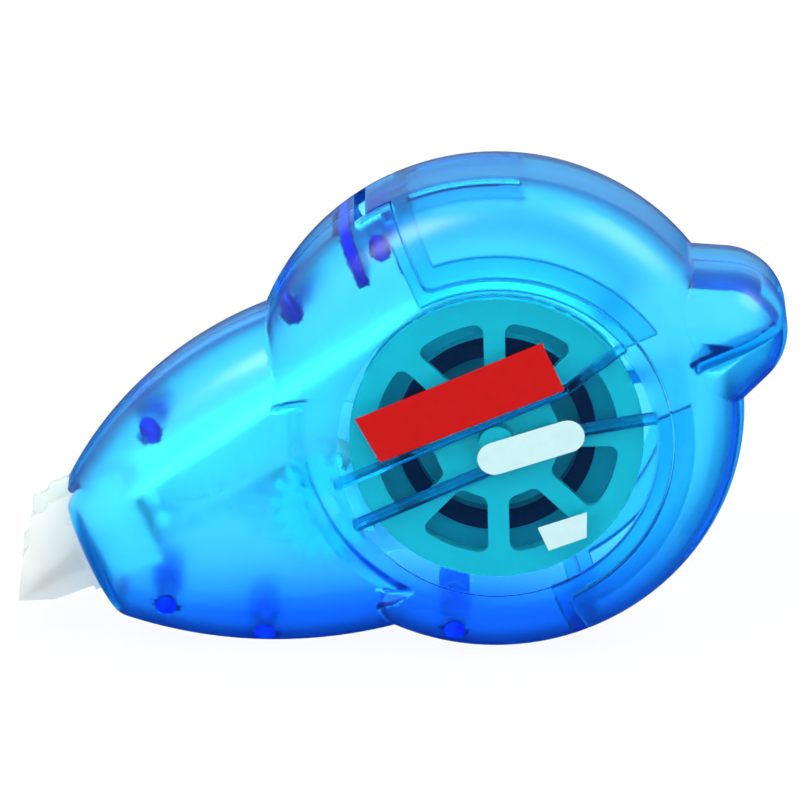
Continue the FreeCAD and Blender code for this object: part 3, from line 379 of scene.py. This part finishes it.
# ---------------------------------------------------------------- refill base
# Base plate with its axles, guide pins and neck, one moulding in natural polypropylene.
# It lets half of the light through and glows a little behind the case.
def moulded_plastic(name, colour, shade, roughness, grain_mm=0.6, glow=0.0, shine=0.5):
    """Moulded surface with faint flow mottling, and a grain drawn coarser than the real one to show.

    `glow` is the share of light let through, and `shine` the level of the surface's own reflection.
    """
    material, tree = new_material(name)
    spot = add_node(tree, "ShaderNodeTexCoord").outputs["Object"]
    mottle = add_node(tree, "ShaderNodeTexNoise", Vector=spot, Scale=1 / (6 * MM), Detail=2.0)
    tint = add_node(tree, "ShaderNodeMix", {"data_type": "RGBA"}, i0=mottle.outputs["Fac"],
                    i6=linear(colour), i7=linear(shade))
    grain = add_node(tree, "ShaderNodeTexNoise", Vector=spot, Scale=1 / (grain_mm * MM), Detail=2.0)
    rough = add_node(tree, "ShaderNodeMapRange", Value=grain.outputs["Fac"],
                     To_Min=roughness - 0.05, To_Max=roughness + 0.08)
    bump = add_node(tree, "ShaderNodeBump", Height=grain.outputs["Fac"], Distance=0.01 * MM, Strength=0.4)
    surface = add_node(tree, "ShaderNodeBsdfPrincipled", Base_Color=tint.outputs[2],
                       Roughness=rough.outputs[0], IOR=1.5, Specular_IOR_Level=shine,
                       Normal=bump.outputs["Normal"])
    if glow:
        let_through = add_node(tree, "ShaderNodeBsdfTranslucent", Color=tint.outputs[2])
        surface = add_node(tree, "ShaderNodeMixShader", i0=glow, i1=surface.outputs[0],
                           i2=let_through.outputs[0])
    finish_material(tree, surface.outputs[0])
    return material


def paint(material, *nodes):
    """Give CAD nodes their only material."""
    for node in nodes:
        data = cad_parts[node].data
        data.materials.clear()
        data.materials.append(material)


natural = moulded_plastic("natural_polypropylene", "EEFAFA", "E6F6F8", 0.42, glow=0.5)
paint(natural, "refill_base")


# ---------------------------------------------------------------- supply wheel, spool and clutch ring
# Satin turquoise ABS wheel and hub cap, snapped on the axle over a dark teal ABS spool.
# The black rubber ring between them is matt and gives almost no highlight.
turquoise = moulded_plastic("turquoise_abs", "3CB8A8", "36AEA0", 0.35, glow=0.3)
dark_teal = moulded_plastic("dark_teal_abs", "1A8C8C", "147E80", 0.5, shine=0.1)
rubber = moulded_plastic("black_rubber", "050506", "08080A", 0.7, grain_mm=0.3, shine=0.1)
paint(turquoise, "supply_gear", "supply_hub_cap")
paint(dark_teal, "supply_spool")
paint(rubber, "clutch_ring")


# ---------------------------------------------------------------- take-up gear and spool
# Small pale turquoise ABS gear whose hub drives the spool of natural polypropylene.
# Both are pale, so that they hardly show through the nose.
pale_turquoise = moulded_plastic("pale_turquoise_abs", "A4F0EE", "9AE8E8", 0.35, glow=0.4)
paint(pale_turquoise, "take_up_gear")
paint(natural, "take_up_spool")


# ---------------------------------------------------------------- correction tape
# Chalky white film on glassine, wound on the supply spool and led to the tip.
# The bare glassine backing comes back from the tip to the take-up spool, a little yellower.
chalky_film = moulded_plastic("white_correction_film", "F2F1EC", "EBEAE4", 0.75, grain_mm=0.2, glow=0.2)
glassine = moulded_plastic("glassine_backing", "F0EEE4", "E8E6DA", 0.5, grain_mm=0.3, glow=0.4)
paint(chalky_film, "tape_roll", "tape_to_tip")
paint(glassine, "used_tape_roll", "tape_from_tip")


# ---------------------------------------------------------------- tip
# Two guards with their bridge and the pressing wedge, moulded in natural, milky plastic.
# The thin edges let light through, so the tip is nearly as white as the desk.
milky = moulded_plastic("natural_tip", "DFE2DF", "D6DBD7", 0.3, glow=0.4)
paint(milky, "tip_frame", "tip_wedge")
